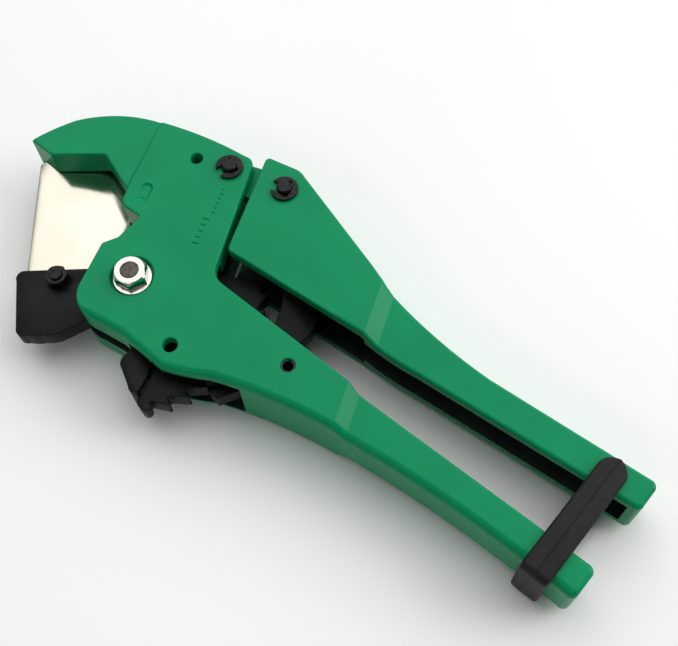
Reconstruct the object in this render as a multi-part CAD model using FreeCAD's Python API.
import FreeCAD, Part
import math
import os

# Ratchet cutter for plastic pipe, in millimetres.
# It is drawn round the main pivot, +X towards the handle ends, +Y towards the moving
# handle and +Z out of the upper face, and moved to its stored place at the very end.

# ---- driving sizes -------------------------------------------------------------------
handle_reach = 166.6          # main pivot to the ends of both handles
hook_radius = 68.3            # main pivot to the outer curve of the hook
head_thickness = 25.0
hook_thickness = 23.6
grip_thickness = 19.6
wall = 3.4                    # cheeks and webs of the two handle channels
neck_x = 82.0                 # where the head ends and the grips begin

carrier_thickness = 6.4
slot_clearance = 0.4          # carrier face to the cheek beside it
blade_thickness = 2.0
blade_slit_clearance = 0.6
blade_tip_radius = 65.5       # main pivot to the nose of the blade
blade_seat_clearance = 0.05

tooth_tip_radius = 43.4
tooth_depth = 2.7
tooth_pitch = 8.6             # degrees
tooth_count = 10
first_tooth_angle = -39.5     # degrees

bolt_radius = 3.0
nut_across_flats = 10.0
nut_height = 5.0
washer_radius = 6.3
washer_thickness = 1.0
counterbore_radius = 7.1
nut_recess = 1.3              # underside of the nut below the upper face
bolt_head_radius = 6.0
bolt_head_height = 3.9
bolt_socket = 5.0
sleeve_radius = 5.0
spacer_thickness = 0.3
spacer_radius = 9.0

pin_radius = 2.5
pin_end_height = 2.3
pin_head_radius = 4.0
pin_head_height = 2.0
clip_radius = 4.7
clip_thickness = 0.9
roll_pin_radius = 2.25
roll_pin_wall = 0.6
roll_pin_recess = 0.6
handle_opening = 30.0         # degrees
running_clearance = 0.05
fixed_clearance = 0.02
side_clearance = 0.3
head_sink = 0.2               # pin heads below the lower face
head_seat_clearance = 0.2     # pin head to the wall of its seat
bolt_head_sink = 0.3
bolt_seat_clearance = 0.4
spring_pitch = 1.08           # distance between rings of a spring, in wire widths
leg_opening = 50.0            # degrees left out of an end ring so that its leg runs free

ear_radius = 6.4
ear_thickness = 4.0
ear_slot_clearance = 0.5
tooth_slot_clearance = 1.0    # tooth tips to the end of the slot they turn in
blade_nose_clearance = 0.9    # blade nose to the end of its slit
pocket_clearance = 0.3        # blade outline to the pocket in the carrier
pawl_thickness = 6.0
pawl_sleeve_radius = 3.6
drive_pawl_lift = 3.6         # degrees from the engaged to the stored position
holding_pawl_lift = 8.3       # degrees
spring_wire = 1.0

blade_screw_radius = 2.0
blade_nut_across_flats = 7.0
blade_nut_height = 3.0
blade_screw_tail = 0.8
blade_screw_head_radius = 3.5
blade_screw_head_height = 2.4
blade_screw_socket = 2.5
dowel_radius = 1.5

strap_width = 9.3
strap_thickness = 2.5
strap_gap = 0.2
strap_x = 154.0
strap_top_y = 48.0
strap_inner_y = 6.5
strap_corner_round = 1.1

peep_hole_radius = 2.4
hang_hole_radius = 2.1

# ---- places round the main pivot -----------------------------------------------------
handle_pivot = (-4.1, 50.4)
pawl_pivot = (16.2, 55.6)
holding_pivot = (59.8, 8.5)
blade_screw_place = (-23.3, -14.3)
dowel_place = (-9.6, -9.6)
peep_hole_place = (26.9, -9.7)
hang_hole_place = (-15.7, 46.2)

head_z = head_thickness / 2
hook_z = hook_thickness / 2
grip_z = grip_thickness / 2
carrier_z = carrier_thickness / 2
slot_z = carrier_z + slot_clearance
blade_z = blade_thickness / 2
slit_z = blade_z + blade_slit_clearance
cavity_z = head_z - wall
grip_cavity_z = grip_z - wall
ear_z = slot_z + slot_clearance + ear_thickness
ear_inner_z = slot_z + slot_clearance
pawl_z = pawl_thickness / 2
tooth_root_radius = tooth_tip_radius - tooth_depth
sector_slot_radius = tooth_tip_radius + tooth_slot_clearance

# Cutting tools reach past every face by these, so their exact values do not matter.
past = 1.0
through = (-40.0, 40.0)
everywhere = (-200.0, 200.0)


# ---- drawing helpers -----------------------------------------------------------------
def polar(radius, degrees):
    angle = math.radians(degrees)
    return (radius * math.cos(angle), radius * math.sin(angle))


def offset(point, dx, dy):
    return (point[0] + dx, point[1] + dy)


def along_grip(share):
    """X at a share of the way from the neck to the handle end."""
    return neck_x + share * (handle_reach - neck_x)


def vector(point, z=0.0):
    return FreeCAD.Vector(point[0], point[1], z)


def face(start, steps):
    """Flat face from a start point and steps: a point for a line, a pair of points for an arc."""
    edges = []
    here = start
    for step in steps + [start]:
        if isinstance(step[0], tuple):
            edges.append(Part.Arc(vector(here), vector(step[0]), vector(step[1])).toShape())
            here = step[1]
        elif math.dist(here, step) > 1e-6:
            edges.append(Part.LineSegment(vector(here), vector(step)).toShape())
            here = step
    return Part.Face(Part.Wire(edges))


def plate(start, steps, low, high):
    shape = face(start, steps)
    shape.translate(FreeCAD.Vector(0, 0, low))
    return shape.extrude(FreeCAD.Vector(0, 0, high - low))


def block(x_range, y_range, z_range):
    size = [b - a for a, b in (x_range, y_range, z_range)]
    return Part.makeBox(*size, FreeCAD.Vector(x_range[0], y_range[0], z_range[0]))


def drum(place, radius, low, high):
    return Part.makeCylinder(radius, high - low, vector(place, low))


def ring(place, outer, inner, low, high):
    return drum(place, outer, low, high).cut(drum(place, inner, low - past, high + past))


def hexagon(place, across_flats, low, high, turn=0.0):
    corner = across_flats / math.sqrt(3)
    points = [offset(place, *polar(corner, turn + 60 * i)) for i in range(6)]
    return plate(points[0], points[1:], low, high)


def hex_nut(place, across_flats, bore, low, high, turn=0.0):
    """Hexagon with both corner edges turned off to a cone, and a bore."""
    body = hexagon(place, across_flats, low, high, turn)
    corner = across_flats / math.sqrt(3)
    flat = across_flats / 2
    drop = (corner - flat) * 0.6
    height = high - low
    upper = Part.makeCone(corner + height, flat * 0.97, height + (corner - flat * 0.97) + drop)
    upper.translate(vector(place, low - (corner - flat * 0.97) - drop))
    rounded = body.common(upper.fuse(drum(place, flat * 0.5, low, high)))
    return rounded.cut(drum(place, bore, low - past, high + past))


def rim_edges(solid, level):
    """Edges of a prism that lie in its upper and lower faces."""
    chosen = []
    for edge in solid.Edges:
        box = edge.BoundBox
        if box.ZLength < 1e-6 and abs(abs(box.ZMin) - level) < 1e-6:
            chosen.append(edge)
    return chosen


def beyond(line_start, line_end, high, low, run):
    """Everything past a line, with a sloping facet from one half thickness down to another."""
    far = everywhere[1] - everywhere[0]
    slope_out = run * far / (high - low)
    profile = [(run, 0), (run, low), (-slope_out, low + far + (high - low)), (far, low + far)]
    profile.append((far, 0))
    points = [FreeCAD.Vector(u, 0, z) for u, z in profile]
    wire = Part.makePolygon(points + [points[0]])
    half = Part.Face(wire).extrude(FreeCAD.Vector(0, -2 * far, 0))
    half.translate(FreeCAD.Vector(0, far, 0))
    whole = half.fuse(half.mirror(FreeCAD.Vector(0, 0, 0), FreeCAD.Vector(0, 0, 1)))
    turn = math.degrees(math.atan2(line_end[1] - line_start[1], line_end[0] - line_start[0]))
    whole.rotate(FreeCAD.Vector(0, 0, 0), FreeCAD.Vector(0, 0, 1), turn + 90)
    whole.translate(vector(line_start))
    return whole


def coil(place, radius, wire, turns, low):
    """Torsion spring body: close rings that touch nothing else."""
    rings = []
    for i in range(turns):
        level = low + wire * (0.5 + spring_pitch * i)
        rings.append(Part.makeTorus(radius, wire / 2, vector(place, level)))
    return rings


def hooked_ring(place, radius, degrees, length, wire, level):
    """Open ring whose end runs on along its tangent as a straight leg."""
    axis = FreeCAD.Vector(0, 0, 1)
    origin = FreeCAD.Vector(0, 0, 0)
    bent = Part.makeTorus(radius, wire / 2, origin, axis, 0, 360, 360 - leg_opening)
    bent.rotate(origin, axis, degrees + leg_opening)
    bent.translate(vector(place, level))
    start = offset(place, *polar(radius, degrees))
    direction = vector(polar(1.0, degrees + 90))
    straight = Part.makeCylinder(wire / 2, length, vector(start, level), direction)
    return bent.fuse(straight)


def spring(place, radius, wire, turns, low, first_leg, last_leg):
    rings = coil(place, radius, wire, turns, low)
    top = low + wire * (0.5 + spring_pitch * (turns - 1))
    rings[0] = hooked_ring(place, radius, *first_leg, wire, low + wire / 2)
    rings[-1] = hooked_ring(place, radius, *last_leg, wire, top)
    return Part.makeCompound(rings)


def turned(shape, place, degrees):
    copy = shape.copy()
    copy.rotate(vector(place), FreeCAD.Vector(0, 0, 1), degrees)
    return copy


# ---- outlines of the two castings ----------------------------------------------------
grip_inner_start = (81.5, 15.9)
outer_rim = [
    ((along_grip(0.439), 6.0), (along_grip(0.0361), 1.9)),
    ((61.1, -3.4), (43.7, -9.6)),
]
frame_start = (-66.2, 15.7)
frame_steps = [
    polar(hook_radius, 165.6),
    (polar(hook_radius, 159.0), polar(hook_radius, 152.5)),
    ((-50.6, 42.2), (-36.0, 49.8)),
    ((-19.6, 54.8), (-3.3, 57.6)),
    ((-0.2, 57.4), (1.3, 55.7)),
    (18.2, 20.8),
    ((20.7, 17.6), (25.0, 16.5)),
    (77.2, 16.6),
    grip_inner_start,
    (along_grip(0.965), 18.1),
    ((along_grip(0.992), 17.5), (along_grip(1.0), 15.4)),
    (along_grip(1.0), 9.4),
    ((along_grip(0.992), 7.6), (along_grip(0.968), 7.1)),
] + outer_rim + [
    ((37.0, -13.6), (29.7, -16.9)),
    (11.5, -16.9),
    (1.5, -18.6),
    ((-7.2, -17.6), (-11.2, -12.6)),
    (-16.6, 2.4),
    (-14.1, 7.4),
    (-14.1, 16.4),
    ((-14.4, 17.2), (-15.3, 17.4)),
    (-21.6, 17.0),
    ((-23.6, 18.6), (-24.9, 21.4)),
    ((-25.4, 22.2), (-26.2, 22.8)),
    (-40.4, 27.3),
    ((-41.6, 27.6), (-42.8, 27.2)),
    (-56.6, 15.7),
]

handle_start = (3.1, 60.3)
handle_steps = [
    (16.3, 28.4),
    ((17.0, 27.2), (18.6, 26.7)),
    (69.7, 31.3),
    ((80.0, 31.2), (92.0, 32.4)),
    (along_grip(0.975), 39.5),
    ((along_grip(0.994), 40.2), (along_grip(1.0), 42.2)),
    (along_grip(1.0), 47.4),
    ((along_grip(0.992), 49.3), (along_grip(0.968), 49.9)),
    ((along_grip(0.585), 47.2), (along_grip(0.323), 45.4)),
    ((88.5, 46.1), (65.0, 49.8)),
    (17.8, 64.0),
    ((15.6, 64.6), (12.6, 64.3)),
    (4.6, 62.5),
    ((3.2, 61.7), (3.1, 60.3)),
]


# ---- frame: head, hook and fixed handle ----------------------------------------------
neck_line = ((77.2, 16.6), (82.8, 3.8))        # where the sloping facets begin
handle_neck_line = ((63.2, 49.5), (71.2, 31.0))
hook_line = ((-25.1, 22.4), (-35.5, 49.3))
neck_run = 4.3
handle_neck_run = 4.9
hook_run = 0.8


def hook_step():
    return beyond(*hook_line, head_z, hook_z, hook_run)


def frame_step():
    return beyond(*neck_line, head_z, grip_z, neck_run)


def frame_blank():
    head = plate(frame_start, frame_steps, -head_z, head_z)
    head = head.cut(frame_step().common(block((40, 400), everywhere, everywhere)))
    head = head.cut(hook_step().common(block((-400, 0), everywhere, everywhere)))
    hook = plate(frame_start, frame_steps, -hook_z, hook_z)
    hook = hook.common(block((-90, -20), (14, 60), everywhere))
    grip = plate(frame_start, frame_steps, -grip_z, grip_z)
    grip = grip.common(block((60, handle_reach + past), (-20, 40), everywhere))
    return head.fuse(hook).fuse(grip)


def carrier_slot():
    """Room for the carrier plate: its hub, its teeth and the arm that holds the blade."""
    return plate(
        polar(sector_slot_radius, -75),
        [(polar(sector_slot_radius, 10), polar(sector_slot_radius, 122)), (-14.5, 12.0),
         (-40.0, 5.0), (-40.0, -45.0)],
        -slot_z, slot_z)


def blade_slit():
    """Slit that the blade closes into, just wider than its path about the pivot."""
    reach = blade_tip_radius + blade_nose_clearance
    return plate(
        polar(reach, 185),
        [polar(reach, 175), (polar(reach, 162), polar(reach, 149.3)), (-11.0, 24.2), (0.0, 14.0),
         (-5.0, 0.0)],
        -slit_z, slit_z)


def wide_cavity():
    """Space for the pawls between the cheeks, open towards the moving handle."""
    lower = [
        neck_line[0],
        offset(neck_line[1], -0.4, wall - 2.2),
        (61.1, -3.4 + wall),
        (52.6, -6.4 + wall),
        (52.6, -30.0),
        (14.6, -30.0),
        (14.6, -15.0),
    ]
    return plate(
        (20.0, 40.0), [(neck_line[0][0], 40.0)] + lower + [(polar(20.9, 0.0), (16.2, 13.2))],
        -cavity_z, cavity_z)


def grip_cavity():
    return plate(
        (along_grip(-0.1), 40.0),
        [(along_grip(1.0) - wall, 40.0), (along_grip(1.0) - wall, 7.6 + wall),
         (along_grip(0.6), 7.0 + wall), (along_grip(0.3), 4.9 + wall), (along_grip(0.0), 1.7 + wall),
         (along_grip(-0.1), 0.2 + wall)],
        -grip_cavity_z, grip_cavity_z)


def ear_slot():
    width = ear_radius + ear_slot_clearance
    low, high = -ear_z - slot_clearance, ear_z + slot_clearance
    round_end = drum(handle_pivot, width, low, high)
    x, y = handle_pivot
    mouth = block((x, x + 40), (y - width, y + 30), (low, high))
    return round_end.fuse(mouth).fuse(turned(mouth, handle_pivot, handle_opening))


def head_seat(place):
    """Sunk seat for the head of a pin in the lower face."""
    return drum(place, pin_head_radius + head_seat_clearance, through[0],
                -head_z + pin_head_height + head_sink)


def frame():
    shape = frame_blank()
    for space in (carrier_slot(), blade_slit(), wide_cavity(), grip_cavity(), ear_slot()):
        shape = shape.cut(space)
    top = head_z - nut_recess - washer_thickness
    holes = [
        drum((0, 0), bolt_radius + fixed_clearance, *through),
        drum((0, 0), counterbore_radius, top, through[1]),
        drum((0, 0), bolt_head_radius + bolt_seat_clearance, through[0],
             -head_z + bolt_head_height + bolt_head_sink + 2 * running_clearance),
        drum(handle_pivot, pin_radius + fixed_clearance, *through),
        head_seat(handle_pivot),
        drum(holding_pivot, roll_pin_radius + fixed_clearance, *through),
        drum(peep_hole_place, peep_hole_radius, *through),
        drum(hang_hole_place, hang_hole_radius, *through),
    ]
    for hole in holes:
        shape = shape.cut(hole)
    return shape.cut(date_mark())


def date_mark():
    """Shallow oval recess with an island on the upper face."""
    depth = 0.5
    place = (-19.6, 25.1)

    def oval(half_width, half_length, low):
        a = (half_width, -half_length)
        b = (half_width, half_length)
        steps = [b, ((0, half_length + half_width), (-half_width, half_length)),
                 (-half_width, -half_length), ((0, -half_length - half_width), a)]
        return plate(a, steps, low, head_z + past)

    recess = oval(1.8, 1.9, head_z - depth).cut(oval(0.9, 1.3, head_z - 2 * depth))
    recess = turned(recess, (0, 0), 23.0)
    recess.translate(vector(place))
    return recess


# ---- moving handle -------------------------------------------------------------------
def handle_blank():
    step = beyond(*handle_neck_line, head_z, grip_z, handle_neck_run)
    head = plate(handle_start, handle_steps, -head_z, head_z)
    head = head.cut(step.common(block((40, 400), everywhere, everywhere)))
    grip = plate(handle_start, handle_steps, -grip_z, grip_z)
    grip = grip.common(block((60, handle_reach + past), (20, 70), everywhere))
    return head.fuse(grip)


def handle_head_cavity():
    """Channel of the wide end; its left end stays solid where the two ears grow out."""
    upper, lower = handle_neck_line
    return plate(
        (9.6, 47.5),
        [(9.6, 61.2), (17.4, 61.2), offset(upper, 1.3, 0.7 - wall), lower, (lower[0], 20.0),
         (-9.0, 20.0), (-9.0, 47.5)],
        -cavity_z, cavity_z)


def handle_grip_cavity():
    return plate(
        (along_grip(-0.24), 20.0),
        [(along_grip(-0.24), 50.0 - wall), (along_grip(-0.12), 47.6 - wall), (along_grip(0.0), 46.3 - wall),
         (along_grip(0.323), 45.3 - wall), (along_grip(0.585), 47.1 - wall),
         (along_grip(1.0) - wall, 49.7 - wall), (along_grip(1.0) - wall, 20.0)],
        -grip_cavity_z, grip_cavity_z)


def ear(low):
    x, y = handle_pivot
    return plate(
        (x, y + ear_radius),
        [((x - ear_radius, y), (x, y - ear_radius)), (9.0, 48.5), (9.0, 61.4)],
        low, low + ear_thickness)


def moving_handle():
    shape = handle_blank().cut(handle_head_cavity()).cut(handle_grip_cavity())
    shape = shape.fuse(ear(ear_inner_z)).fuse(ear(-ear_z))
    shape = shape.cut(drum(handle_pivot, pin_radius + running_clearance, *through))
    shape = shape.cut(drum(pawl_pivot, pin_radius + fixed_clearance, *through))
    return shape.cut(head_seat(pawl_pivot))


# ---- blade and carrier ---------------------------------------------------------------
blade_nose = polar(blade_tip_radius, 150.2)
blade_heel = (-14.3, 21.5)
edge_bevel = 4.0
edge_land = 0.2
blade_start = (-34.3, -19.3)
blade_steps = [
    polar(blade_tip_radius, 168.0),
    (polar(blade_tip_radius, 159.0), blade_nose),
    blade_heel,
    (-8.2, 12.6),
    ((-9.0, 4.0), (-8.6, -2.0)),
    (-6.5, -9.0),
    (-13.5, -16.5),
    (-25.5, -21.5),
    (-31.5, -21.8),
]


def blade():
    shape = plate(blade_start, blade_steps, -blade_z, blade_z)
    length = math.dist(blade_nose, blade_heel)
    nx = (blade_nose[1] - blade_heel[1]) / length
    ny = (blade_heel[0] - blade_nose[0]) / length
    inner = [offset(p, -nx * edge_bevel, -ny * edge_bevel) for p in (blade_nose, blade_heel)]
    shape = shape.cut(beyond(inner[0], inner[1], blade_z, edge_land / 2, edge_bevel))
    shape = shape.cut(drum(blade_screw_place, blade_screw_radius + fixed_clearance, *through))
    return shape.cut(drum(dowel_place, dowel_radius + fixed_clearance, *through))


def tooth_rim():
    """Teeth from the upper end of the sector down to its rounded lower end."""
    points = []
    for i in reversed(range(1, tooth_count)):
        tip = first_tooth_angle + i * tooth_pitch
        points += [
            polar(tooth_root_radius - 0.1, tip + 0.9),
            polar(tooth_root_radius + 0.1, tip - 0.3),
            polar(tooth_tip_radius - 0.5, tip),
            polar(tooth_tip_radius, tip - 0.6),
            polar(tooth_tip_radius - 0.3, tip - 1.3),
        ]
    tip = first_tooth_angle
    points += [polar(tooth_root_radius - 0.1, tip + 0.9), polar(tooth_root_radius + 0.1, tip - 0.3)]
    points.append((polar(tooth_tip_radius + 0.1, tip - 1.2), polar(tooth_tip_radius - 1.2, tip - 3.8)))
    return points


hub_radius = 12.0
sector_end = first_tooth_angle + tooth_count * tooth_pitch - 3.0
carrier_start = (-34.4, -19.2)
carrier_steps = [
    (-19.8, -6.2),
    (-11.9, 0.8),
    (polar(hub_radius, 125), polar(hub_radius, 80)),
    polar(tooth_tip_radius - 1.5, sector_end),
] + tooth_rim() + [
    ((30.0, -29.0), (27.6, -26.0)),
    (18.0, -14.5),
    ((6.0, -12.0), (-4.5, -17.5)),
    (-7.6, -25.9),
    ((-9.4, -29.4), (-11.9, -31.6)),
    ((-13.8, -33.7), (-16.2, -35.2)),
    ((-18.4, -36.6), (-20.6, -35.6)),
    (-33.7, -23.8),
    ((-35.3, -21.9), (-34.4, -19.2)),
]
boss_half = 5.6
boss_start = (15.0, -15.5)
boss_steps = [
    (15.0, -20.6),
    ((15.7, -22.6), (17.4, -23.7)),
    (23.7, -26.8),
    ((25.9, -27.3), (27.1, -25.6)),
    (25.5, -19.5),
    (22.0, -14.5),
]


def blade_carrier():
    shape = plate(carrier_start, carrier_steps, -carrier_z, carrier_z)
    boss = plate(boss_start, boss_steps, -boss_half, boss_half)
    shape = shape.fuse(boss)
    pocket = face(blade_start, blade_steps).makeOffset2D(pocket_clearance)
    pocket.translate(FreeCAD.Vector(0, 0, -blade_z - blade_seat_clearance))
    pocket = pocket.extrude(FreeCAD.Vector(0, 0, blade_thickness + 2 * blade_seat_clearance))
    shape = shape.cut(pocket)
    shape = shape.cut(drum((0, 0), sleeve_radius + running_clearance, *through))
    shape = shape.cut(drum(blade_screw_place, blade_screw_radius + fixed_clearance, *through))
    return shape.cut(drum(dowel_place, dowel_radius + fixed_clearance, *through))


def blade_screw():
    low = -carrier_z - blade_screw_head_height
    shank = drum(blade_screw_place, blade_screw_radius, low,
                 carrier_z + blade_nut_height + blade_screw_tail)
    head = drum(blade_screw_place, blade_screw_head_radius, low, -carrier_z)
    socket = hexagon(blade_screw_place, blade_screw_socket, low - past, low + 1.4)
    return shank.fuse(head).cut(socket)


def blade_nut():
    return hex_nut(blade_screw_place, blade_nut_across_flats, blade_screw_radius + fixed_clearance,
                   carrier_z, carrier_z + blade_nut_height, 41.7)


def blade_dowel():
    return drum(dowel_place, dowel_radius, -carrier_z + 0.1, carrier_z - 0.1)


# ---- main pivot ----------------------------------------------------------------------
nut_base = head_z - nut_recess


def pivot_bolt():
    low = -head_z + bolt_head_sink
    shank = drum((0, 0), bolt_radius, low, nut_base + nut_height + 0.2)
    shape = shank.fuse(drum((0, 0), bolt_head_radius, low, low + bolt_head_height))
    return shape.cut(hexagon((0, 0), bolt_socket, low - past, low + 2.4))


def pivot_nut():
    return hex_nut((0, 0), nut_across_flats, bolt_radius + fixed_clearance, nut_base,
                   nut_base + nut_height, 12.0)


def pivot_washer():
    return ring((0, 0), washer_radius, bolt_radius + 0.2, nut_base - washer_thickness, nut_base)


def pivot_sleeve():
    return ring((0, 0), sleeve_radius, bolt_radius + fixed_clearance, -slot_z, slot_z)


def pivot_spacers():
    low = carrier_z + (slot_clearance - spacer_thickness) / 2
    upper = ring((0, 0), spacer_radius, sleeve_radius + 0.1, low, low + spacer_thickness)
    lower = ring((0, 0), spacer_radius, sleeve_radius + 0.1, -low - spacer_thickness, -low)
    return Part.makeCompound([upper, lower])


# ---- pins and clips ------------------------------------------------------------------
groove_low = head_z + 0.15
groove_depth = 0.5


def headed_pin(place):
    low = -head_z + head_sink
    shape = drum(place, pin_radius, low, head_z + pin_end_height)
    end = [edge for edge in shape.Edges if edge.BoundBox.ZMin > head_z]
    shape = shape.makeChamfer(0.4, end)
    shape = shape.fuse(drum(place, pin_head_radius, low, low + pin_head_height))
    groove = ring(place, pin_radius + past, pin_radius - groove_depth, groove_low,
                  groove_low + clip_thickness + 2 * running_clearance)
    return shape.cut(groove)


def snap_ring(place, turn):
    """E-shaped ring: three lobes on the groove and an open mouth."""
    low = groove_low + running_clearance
    high = low + clip_thickness
    lobe = pin_radius - groove_depth + fixed_clearance
    shape = ring(place, clip_radius, lobe, low, high)
    mouth = block((0, clip_radius + past), (-lobe * 0.85, lobe * 0.85), (low - past, high + past))
    mouth.translate(vector(place))
    shape = shape.cut(turned(mouth, place, turn))
    for side in (-62, 62):
        notch = drum(offset(place, *polar(lobe + 0.5, turn + 180 + side)), 0.9, low - past, high + past)
        shape = shape.cut(notch)
    return shape


def holding_pawl_pin():
    """Slotted spring pin."""
    half = head_z - roll_pin_recess
    shape = ring(holding_pivot, roll_pin_radius, roll_pin_radius - roll_pin_wall, -half, half)
    slot = block((0, 2 * roll_pin_radius), (-0.45, 0.45), (-half - past, half + past))
    slot.translate(vector(holding_pivot))
    return shape.cut(turned(slot, holding_pivot, 115))


# ---- pawls, drawn in mesh with the teeth and swung back to their stored place --------
drive_start = polar(tooth_root_radius + 0.6, 13.3)
drive_steps = [
    polar(tooth_root_radius + 0.7, 14.4),
    polar(tooth_root_radius + 1.7, 16.4),
    polar(tooth_tip_radius + 0.7, 20.2),
    (polar(45.4, 30.0), (27.0, 36.5)),
    (11.7, 53.6),
    ((13.6, 59.8), (20.9, 57.2)),
    (41.0, 38.0),
    ((51.4, 27.5), (50.6, 14.4)),
    ((48.9, 11.6), polar(45.8, 13.3)),
]
holding_start = polar(tooth_root_radius + 0.6, -11.9)
holding_steps = [
    polar(tooth_root_radius + 0.7, -10.9),
    polar(tooth_root_radius + 1.8, -9.0),
    polar(tooth_tip_radius + 0.8, -4.8),
    (56.0, 12.0),
    ((62.6, 12.8), (64.0, 6.2)),
    ((62.0, 3.4), (58.0, 3.9)),
    (54.5, 3.0),
    (46.4, -6.4),
    polar(45.4, -12.1),
]


def pawl(start, steps, place, bore, lift):
    shape = plate(start, steps, -pawl_z, pawl_z)
    sleeve = cavity_z - side_clearance
    shape = shape.fuse(drum(place, pawl_sleeve_radius, -sleeve, sleeve))
    shape = shape.cut(drum(place, bore + running_clearance, *through))
    return turned(shape, place, lift)


def drive_pawl():
    return pawl(drive_start, drive_steps, pawl_pivot, pin_radius, drive_pawl_lift)


def holding_pawl():
    return pawl(holding_start, holding_steps, holding_pivot, roll_pin_radius, holding_pawl_lift)


def pawl_spring(place, first_leg, last_leg):
    radius = pawl_sleeve_radius + side_clearance + spring_wire / 2
    return spring(place, radius, spring_wire, 4, pawl_z + side_clearance, first_leg, last_leg)


def drive_pawl_spring():
    return pawl_spring(pawl_pivot, (-150, 9.0), (180, 6.0))


def holding_pawl_spring():
    return pawl_spring(holding_pivot, (-60, 8.0), (150, 7.0))


def handle_spring():
    radius = pin_radius + side_clearance + spring_wire / 2
    low = -spring_wire * spring_pitch * 2.5
    return spring(handle_pivot, radius, spring_wire, 5, low, (-90, 3.0), (100, 3.0))


# ---- strap that holds the handles shut -----------------------------------------------
def handle_strap():
    inner = grip_z + strap_gap
    outer = inner + strap_thickness
    half = strap_width / 2
    base = strap_inner_y - strap_thickness
    solid = plate(
        (strap_x - half, base),
        [(strap_x + half, base), (strap_x + half, strap_top_y - half),
         ((strap_x, strap_top_y), (strap_x - half, strap_top_y - half))],
        -outer, outer)
    solid = solid.makeFillet(strap_corner_round, rim_edges(solid, outer))
    gap = block((strap_x - strap_width, strap_x + strap_width), (strap_inner_y, strap_top_y + past),
                (-inner, inner))
    return solid.cut(gap)


PARTS = {
    "frame": frame,
    "moving_handle": moving_handle,
    "blade": blade,
    "blade_carrier": blade_carrier,
    "blade_screw": blade_screw,
    "blade_nut": blade_nut,
    "blade_dowel": blade_dowel,
    "pivot_bolt": pivot_bolt,
    "pivot_nut": pivot_nut,
    "pivot_washer": pivot_washer,
    "pivot_sleeve": pivot_sleeve,
    "pivot_spacers": pivot_spacers,
    "handle_pin": lambda: headed_pin(handle_pivot),
    "handle_pin_clip": lambda: snap_ring(handle_pivot, 250.0),
    "handle_spring": handle_spring,
    "pawl_pin": lambda: headed_pin(pawl_pivot),
    "pawl_pin_clip": lambda: snap_ring(pawl_pivot, 205.0),
    "drive_pawl": drive_pawl,
    "drive_pawl_spring": drive_pawl_spring,
    "holding_pawl": holding_pawl,
    "holding_pawl_pin": holding_pawl_pin,
    "holding_pawl_spring": holding_pawl_spring,
    "handle_strap": handle_strap,
}

os.makedirs("parts", exist_ok=True)
shapes = {name: make() for name, make in PARTS.items()}
box = FreeCAD.BoundBox()
for shape in shapes.values():
    box.add(shape.BoundBox)
home = FreeCAD.Vector(-box.Center.x, -box.Center.y, -box.ZMin)
for name, shape in shapes.items():
    shape.translate(home)
    shape.exportStep("parts/" + name + ".step")
